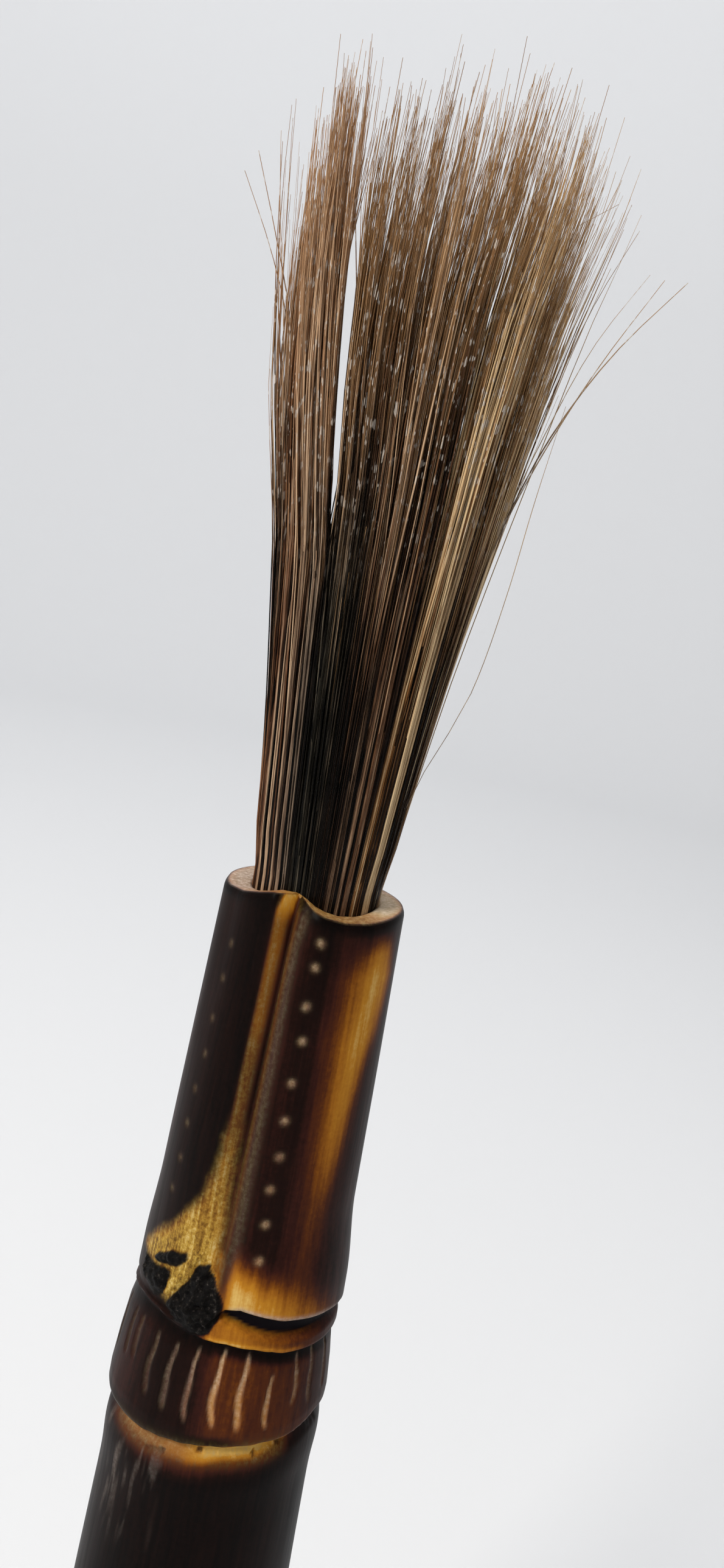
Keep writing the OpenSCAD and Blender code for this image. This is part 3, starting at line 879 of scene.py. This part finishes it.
# Stray hairs: their lock, tone, thickness, and the points they pass, as (x, y, height).
STRAYS = (
    ("left_lock", 0.30, 0.08, ((-9.0, -2, 24), (-11.6, -2.5, 44), (-13.4, -2.8, 56.7),
                               (-15.8, -3, 63), (-18.8, -3, 70.2))),
    ("left_lock", 0.30, 0.07, ((-8.9, -1, 24), (-11.4, -1.2, 43), (-13.2, -1.4, 55),
                               (-16.0, -1.6, 61.5), (-19.9, -2, 68.4))),
    ("left_lock", 0.75, 0.05, ((-9.0, 0, 24), (-12.2, 0, 46), (-14.4, 0, 58), (-16.2, 0, 66),
                               (-17.4, 0, 73))),
    ("left_lock", 0.85, 0.045, ((-8.8, 1, 24), (-11.8, 1, 42), (-12.6, 1, 52), (-13.6, 1, 60),
                                (-14.2, 0.5, 75))),
    ("right_lock", 0.34, 0.085, ((8.6, -1, 24), (11.4, -1.5, 42), (14.0, -2, 50.5),
                                 (18.4, -2, 59.3), (23.5, -2, 66.5))),
    ("right_lock", 0.40, 0.07, ((8.6, -2, 24), (11.2, -2.2, 41), (13.8, -2.4, 49.5),
                                (17.0, -2.6, 57.6), (21.2, -2.6, 66.2))),
    ("right_lock", 0.55, 0.05, ((8.8, -2.5, 24), (11.2, -2.5, 42), (13.4, -2.5, 51),
                                (16.4, -2.2, 60), (19.8, -2, 66.5))),
    ("right_lock", 0.30, 0.06, ((8.8, -1.5, 24), (10.8, -2.5, 55), (11.9, -3.5, 69),
                                (13.2, -3.6, 71.2), (15.3, -3.2, 71.9))),
    ("right_lock", 0.25, 0.06, ((8.8, 1, 24), (11.6, 1, 46), (13.8, 1, 58), (15.4, 1, 66),
                                (17.0, 1, 73))),
    ("right_lock", 0.30, 0.06, ((8.8, 2, 24), (11.6, 2, 44), (13.6, 2, 55), (15.8, 2, 64),
                                (18.4, 2, 71))),
    ("right_lock", 0.70, 0.045, ((6.4, -1.5, 0), (7.4, -2, 11.6), (11.4, -2.4, 24.1),
                                 (12.8, -2.4, 34), (13.6, -2.2, 43.7), (14.6, -2, 53.1))),
)


def stray_line(lock, tone, thickness, stops):
    """A hair that has left its lock: it grows with the others and then follows its own stops."""
    if stops[0][2] > 0:
        stops = ((STRAY_FOOT * stops[0][0], STRAY_FOOT * stops[0][1], 0), *stops)
    at = np.array([s[2] for s in stops])
    height = hair_heights(at[-1], 2 * TIP_STEPS)
    path = np.clip(height, 0, None)
    x, y = (smooth_through(path, at, [s[k] for s in stops]) for k in (0, 1))
    line = np.stack([x, y, MOUTH + height], -1)
    along = np.clip(height / at[-1], 0, 1)
    return lock, line, thickness * (1 - 0.55 * ease(along, 0.75, 1.0)), tone, 0.3, along


def smooth_through(x, at, values):
    """A smooth line through points (at, values), with slopes from the points on either side."""
    at, values = np.array(at, float), np.array(values, float)
    slope = np.gradient(values, at)
    i = np.clip(np.searchsorted(at, x) - 1, 0, len(at) - 2)
    gap = at[i + 1] - at[i]
    t = (x - at[i]) / gap
    return ((2 * t**3 - 3 * t**2 + 1) * values[i] + (t**3 - 2 * t**2 + t) * gap * slope[i]
            + (-2 * t**3 + 3 * t**2) * values[i + 1] + (t**3 - t**2) * gap * slope[i + 1])


def loose_edges(rng):
    """Thin hairs that stand off the sides, most of them on the right."""
    hairs = []
    for _ in range(LOOSE_HAIRS):
        side = rng.choice([1, 1, 1, -1])
        part, across, lock = "main", rng.uniform(0.9, 1.0), "right_lock"
        if side < 0:
            part, across, lock = "left", rng.uniform(0.0, 0.1), "left_lock"
        lean = (side * abs(rng.normal(0.9, 1.2)), rng.normal(0, 1.5))
        tone, warmth = rng.choice([0.2, 0.6, 0.9]), rng.uniform(0.1, 0.7)
        deep, tip = rng.uniform(-0.9, 0.9), rng.uniform(48, 76)
        hair = hair_line(rng, lock, part, across, deep, lean, 0.0, 1.0, (tone, tone), warmth, tip)
        hairs.append((lock, hair[1], hair[2] * 0.75, *hair[3:]))
    return hairs


def hair_tree():
    """Geometry nodes that turn lines into hairs: each line becomes a thin closed tube."""
    tree = bpy.data.node_groups.new("hair_tubes", "GeometryNodeTree")
    face = tree.interface
    face.new_socket("Geometry", in_out="INPUT", socket_type="NodeSocketGeometry")
    sides = face.new_socket("Sides", in_out="INPUT", socket_type="NodeSocketInt")
    sides.default_value = HAIR_SIDES
    coat = face.new_socket("Hair", in_out="INPUT", socket_type="NodeSocketMaterial")
    face.new_socket("Geometry", in_out="OUTPUT", socket_type="NodeSocketGeometry")
    given = add(tree, "NodeGroupInput")
    lines = add(tree, "GeometryNodeMeshToCurve", {"Mesh": given.outputs["Geometry"]})
    thickness = add(tree, "GeometryNodeInputNamedAttribute", {"Name": "thickness"},
                    data_type="FLOAT")
    sized = add(tree, "GeometryNodeSetCurveRadius",
                {"Curve": lines.outputs[0], "Radius": thickness.outputs[0]})
    ring = add(tree, "GeometryNodeCurvePrimitiveCircle",
               {"Resolution": given.outputs["Sides"], "Radius": 1.0})
    tubes = add(tree, "GeometryNodeCurveToMesh",
                {"Curve": sized.outputs[0], "Profile Curve": ring.outputs[0], "Fill Caps": True})
    if "Scale" in tubes.inputs:
        tree.links.new(thickness.outputs[0], tubes.inputs["Scale"])
    real = add(tree, "GeometryNodeRealizeInstances", {"Geometry": tubes.outputs[0]})
    painted = add(tree, "GeometryNodeSetMaterial",
                  {"Geometry": real.outputs[0], "Material": given.outputs["Hair"]})
    add(tree, "NodeGroupOutput", {"Geometry": painted.outputs[0]})
    return tree, sides.identifier, coat.identifier


def line_mesh(name, hairs):
    """Lines for the hair tree, with thickness, tone, warmth and share of length at each point."""
    mesh = bpy.data.meshes.new(name)
    points = np.concatenate([h[0] for h in hairs]) * MM
    starts = np.cumsum([0] + [len(h[0]) for h in hairs])
    edges = [(a, a + 1) for s, h in zip(starts, hairs) for a in range(s, s + len(h[0]) - 1)]
    mesh.from_pydata(points.tolist(), edges, [])
    for key, k in (("thickness", 1), ("tone", 2), ("warmth", 3), ("along", 4)):
        values = np.concatenate([h[k] for h in hairs]).astype(np.float32)
        mark = mesh.attributes.new(key, "FLOAT", "POINT")
        mark.data.foreach_set("value", values * (MM if key == "thickness" else 1))
    return mesh


def hair_piece(name, hairs, material, tree):
    """A plain mesh of hairs, made by the hair tree."""
    group, sides, coat = tree
    lines = show(name + "_lines", line_mesh(name + "_lines", hairs))
    modifier = lines.modifiers.new("hairs", "NODES")
    modifier.node_group = group
    modifier[sides] = HAIR_SIDES
    modifier[coat] = material
    grown = lines.evaluated_get(bpy.context.evaluated_depsgraph_get())
    made = bpy.data.meshes.new_from_object(grown)
    lines.modifiers.clear()
    bpy.data.objects.remove(lines)
    made.name = name
    made.shade_smooth()
    return show(name, made)


def coarse_hair(name, black, brown, cream, grey, tip):
    """Coarse animal hair, washed and dry: a scaly cuticle, with short pale glints painted into its
    colour on the upper half, paler and browner towards the tip. Each wisp has its own tone and
    warmth."""
    material, tree = new_material(name)
    tone, warmth, along = (
        add(tree, "ShaderNodeAttribute", attribute_name=key).outputs["Fac"]
        for key in ("tone", "warmth", "along")
    )
    where = add(tree, "ShaderNodeTexCoord").outputs["Object"]
    # neighbouring hairs differ over a third of a millimetre; the painted pale glints are 1 mm long
    strands = add(tree, "ShaderNodeMapping", {"Vector": where, "Scale": (1, 1, 0.08)}).outputs[0]
    streak = add(tree, "ShaderNodeTexNoise", {"Vector": strands, "Scale": 1 / (0.35 * MM),
                                              "Detail": 3.0}).outputs[0]
    flecks = add(tree, "ShaderNodeMapping", {"Vector": where, "Scale": (1, 1, 0.45)}).outputs[0]
    fleck = add(tree, "ShaderNodeTexNoise", {"Vector": flecks, "Scale": 1 / (0.6 * MM),
                                             "Detail": 2.0}).outputs[0]
    up = add(tree, "ShaderNodeSeparateXYZ", {"Vector": where}).outputs["Z"]
    upper = add(tree, "ShaderNodeMapRange", {"Value": up, "From Min": (MOUTH + 30) * MM,
                                             "From Max": (MOUTH + 52) * MM, "To Max": 0.85},
                interpolation_type="SMOOTHSTEP").outputs[0]
    # painted highlight: pale glints from 30 mm above the mouth upwards, where the fleck noise peaks
    worn = add(tree, "ShaderNodeMapRange", {"Value": fleck, "From Min": 0.60,
                                            "From Max": 0.64}).outputs[0]
    worn = add(tree, "ShaderNodeMath", {0: worn, 1: upper}, operation="MULTIPLY").outputs[0]
    bleach = add(tree, "ShaderNodeMapRange", {"Value": along, "From Min": 0.3, "From Max": 0.95,
                                              "To Min": -0.36, "To Max": 0.0},
                 interpolation_type="SMOOTHSTEP").outputs[0]
    drift = add(tree, "ShaderNodeMath", {0: streak, 1: 0.6, 2: bleach},
                operation="MULTIPLY_ADD").outputs[0]
    shade = add(tree, "ShaderNodeMath", {0: tone, 1: drift}, operation="ADD",
                use_clamp=True).outputs[0]
    warm = add(tree, "ShaderNodeValToRGB", {"Fac": shade})
    set_ramp(warm, (0.0, black), (0.25, mix_hex(black, brown, 0.4)), (0.5, brown), (1.0, cream))
    cool = add(tree, "ShaderNodeValToRGB", {"Fac": shade})
    set_ramp(cool, (0.0, "#040403"), (0.3, "#1b1a14"), (0.55, grey),
             (1.0, mix_hex(grey, cream, 0.8)))
    fade = add(tree, "ShaderNodeMapRange", {"Value": along, "From Min": 0.6, "From Max": 1.0,
                                            "To Max": 0.72},
               interpolation_type="SMOOTHSTEP").outputs[0]
    colour = cool.outputs[0]
    # the last layer lays in the painted glints
    layers = ((warmth, warm.outputs[0]), (fade, linear(tip)), (worn, linear(GLINT_COLOUR)))
    for amount, over in layers:
        colour = add(tree, "ShaderNodeMix", {"Factor": amount, "A": colour, "B": over},
                     data_type="RGBA").outputs["Result"]
    roughness = add(tree, "ShaderNodeMapRange",
                    {"Value": fleck, "From Min": 0.4, "From Max": 0.6, "To Min": 0.2,
                     "To Max": 0.5}).outputs[0]
    hair = add(tree, "ShaderNodeBsdfPrincipled",
               {"Base Color": colour, "Roughness": roughness, "IOR": 1.55,
                "Specular IOR Level": 0.08})
    add(tree, "ShaderNodeOutputMaterial", {"Surface": hair.outputs[0]})
    return material


def mix_hex(a, b, share):
    """A hex colour part of the way from a to b."""
    pairs = [(int(a[i : i + 2], 16), int(b[i : i + 2], 16)) for i in (1, 3, 5)]
    return "#" + "".join(f"{round(mix(p, q, share)):02x}" for p, q in pairs)


# Each lock as (body, slot, black, brown, cream, grey and tip colours).
LOCKS = {
    "core_lock": ("tuft_core", "dark_hair", "#040202", "#5c3f2c", "#b3947a", "#5c564a", "#a07c5a"),
    "left_lock": ("left_hair", "tan_hair", "#060302", "#7a4f33", "#d8b997", "#6f665a", "#b08660"),
    "right_lock": ("right_hair", "golden_hair", "#060302", "#80562f", "#e6c99c", "#786d60",
                   "#b3895c"),
    "front_lock": ("front_hair", "brown_hair", "#050302", "#6e4a31", "#cfae8c", "#5c564a",
                   "#a88055"),
    "back_lock": ("back_hair", "brown_hair", "#050302", "#6e4a31", "#c6a482", "#5c564a", "#a88055"),
}


def tuft():
    """The whole tuft: each lock is a foot, up to CUT_HEIGHT, and the rest of it."""
    rng = np.random.default_rng(SEED)
    hairs = grow_wisps(rng) + loose_edges(rng) + [stray_line(*s) for s in STRAYS]
    tree = hair_tree()
    cut = FOOT_STEPS + 1
    for lock, (body, slot, *colours) in LOCKS.items():
        material = coarse_hair("coarse_hair_" + lock, *colours)
        own = [h[1:] for h in hairs if h[0] == lock]
        feet, rest = [], []
        for line, thick, tone, warmth, along in own:
            full = [line, thick, np.ones(len(line)) * tone, np.ones(len(line)) * warmth, along]
            feet.append([values[:cut] for values in full])
            rest.append([values[cut - 1 :] for values in full])
        foot = hair_piece(lock + "_feet", feet, material, tree)
        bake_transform(foot)
        top = hair_piece(lock + "_hairs", rest, material, tree)
        if body == "tuft_core":
            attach(top, body)
        else:
            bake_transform(top)
        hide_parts(lock)


# --------------------------------------------------------- inside the socket


def plain_finish(name, dark, light, size_mm, roughness, coat=0.0, stretch=1.0):
    """A finish for the pieces that the socket hides, with grain of a given size."""
    material, tree = new_material(name)
    where = add(tree, "ShaderNodeTexCoord").outputs["Object"]
    grain = add(tree, "ShaderNodeMapping", {"Vector": where, "Scale": (1, 1, stretch)}).outputs[0]
    mottle = add(tree, "ShaderNodeTexNoise", {"Vector": grain, "Scale": 1 / (size_mm * MM),
                                              "Detail": 4.0}).outputs[0]
    dye = add(tree, "ShaderNodeValToRGB", {"Fac": mottle})
    set_ramp(dye, (0.35, dark), (0.65, light))
    bump = add(tree, "ShaderNodeBump", {"Height": mottle, "Strength": 0.4,
                                        "Distance": 0.2 * MM}).outputs[0]
    shader = add(tree, "ShaderNodeBsdfPrincipled",
                 {"Base Color": dye.outputs[0], "Roughness": roughness, "Normal": bump,
                  "Coat Weight": coat, "Coat Roughness": 0.1})
    add(tree, "ShaderNodeOutputMaterial", {"Surface": shader.outputs[0]})
    return material


def finish_hidden_pieces():
    """The CAD pieces in the socket keep their shapes and get their own finishes."""
    finishes = {
        # dried hide glue: brittle and amber, with a glossy skin
        "glue_bed": plain_finish("hide_glue", "#6b4318", "#a06f2e", 1.5, 0.3, coat=0.4),
        # rosin melted on the burnt root ends: dark red-brown glass
        "root_seal": plain_finish("rosin", "#2c0f06", "#5e2610", 2.0, 0.15, coat=0.6),
        # waxed linen thread: pale twisted plies across the turn
        "root_binding": plain_finish("waxed_thread", "#a99a78", "#e2d8bc", 0.3, 0.6, stretch=0.6),
        # hair roots soaked in glue: dark strands along the brush
        "bound_roots": plain_finish("glued_roots", "#0d0a08", "#3a2a1e", 0.3, 0.45, stretch=0.04),
    }
    for node, material in finishes.items():
        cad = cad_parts[node]
        cad.data.materials.clear()
        cad.data.materials.append(material)


# ----------------------------------------------------- stage, light, camera

COVE_R = 1500.0
COVE_H = 1500.0
COVE_ROUND = 450.0


def matte_paper(colour):
    """Matt white paper with a faint tooth."""
    material, tree = new_material("matte_paper")
    where = add(tree, "ShaderNodeTexCoord").outputs["Object"]
    tooth = add(tree, "ShaderNodeTexNoise", {"Vector": where, "Scale": 1 / (1.2 * MM),
                                             "Detail": 3.0}).outputs[0]
    bump = add(tree, "ShaderNodeBump", {"Height": tooth, "Strength": 0.08,
                                        "Distance": 0.1 * MM}).outputs[0]
    shader = add(tree, "ShaderNodeBsdfPrincipled",
                 {"Base Color": linear(colour), "Roughness": 0.9, "Normal": bump})
    add(tree, "ShaderNodeOutputMaterial", {"Surface": shader.outputs[0]})
    return material


def cove():
    """A pale round floor that sweeps up into a wall all round the brush."""
    turn = np.linspace(0, 90, 13)
    bend_x = COVE_R - COVE_ROUND + COVE_ROUND * np.sin(np.radians(turn))
    bend_z = COVE_ROUND - COVE_ROUND * np.cos(np.radians(turn))
    profile = [(r, 0.0) for r in (60, 200, 500)] + list(zip(bend_x, bend_z)) + [(COVE_R, COVE_H)]
    around = np.radians(np.arange(0, 360, 5))
    rings = [(r * math.cos(a), r * math.sin(a), z) for r, z in profile for a in around]
    points = [(0, 0, 0)] + [(x * MM, y * MM, z * MM) for x, y, z in rings]
    count = len(around)
    faces = [(0, 1 + i, 1 + (i + 1) % count) for i in range(count)]
    for j in range(len(profile) - 1):
        low, high = 1 + j * count, 1 + (j + 1) * count
        for i in range(count):
            after = (i + 1) % count
            faces.append((low + i, high + i, high + after, low + after))
    mesh = bpy.data.meshes.new("cove")
    mesh.from_pydata(points, [], faces)
    mesh.shade_smooth()
    show("cove", mesh, matte_paper("#dfe0e1"))


def area_light(name, place, aim, size, power, colour):
    """A square soft light in mm, aimed at a point."""
    data = bpy.data.lights.new(name, "AREA")
    data.size = size * MM
    data.energy = power
    data.color = linear(colour)[:3]
    light = bpy.data.objects.new(name, data)
    bpy.context.scene.collection.objects.link(light)
    light.location = Vector(place) * MM
    light.rotation_euler = (Vector(aim) - Vector(place)).to_track_quat("-Z", "Y").to_euler()


def lights():
    world = bpy.data.worlds.new("soft_sky")
    world.use_nodes = True
    world.node_tree.nodes.clear()
    sky = add(world.node_tree, "ShaderNodeBackground",
              {"Color": linear("#eef1f6"), "Strength": 0.12})
    add(world.node_tree, "ShaderNodeOutputWorld", {"Surface": sky.outputs[0]})
    bpy.context.scene.world = world
    area_light("overhead", (-150, 250, 1300), (-100, 1050, 700), 900, 14.0, "#fdfdff")
    area_light("overhead_front", (150, -250, 1300), (100, -1050, 700), 900, 6.0, "#fdfdff")
    area_light("window", (-400, -420, 600), (0, 0, 200), 240, 4.2, "#fff9f0")


def camera():
    """The camera stands close, level with the hair, and looks a little down at the mouth."""
    back, above = 150.0, 40.5
    yaw, pitch, roll = (math.radians(a) for a in (0.95, 10.65, 11.4))
    image_height, focal = 2576, 2430
    data = bpy.data.cameras.new("camera")
    data.lens = data.sensor_width * focal / image_height
    data.clip_start, data.clip_end = 5 * MM, 20.0
    ahead = Vector((math.sin(yaw) * math.cos(pitch), math.cos(yaw) * math.cos(pitch),
                    -math.sin(pitch)))
    right = ahead.cross(Vector((0, 0, 1))).normalized()
    up = right.cross(ahead)
    level = Matrix((right, up, -ahead)).transposed()
    tilt = Matrix.Rotation(roll, 3, "Z")
    view = bpy.data.objects.new("camera", data)
    bpy.context.scene.collection.objects.link(view)
    place = Matrix.Translation(Vector((0, -back, MOUTH + above)) * MM)
    view.matrix_world = place @ (level @ tilt).to_4x4()
    bpy.context.scene.camera = view


bamboo_stem()
tuft()
finish_hidden_pieces()
cove()
lights()
camera()
bpy.context.scene.view_settings.view_transform = "Standard"
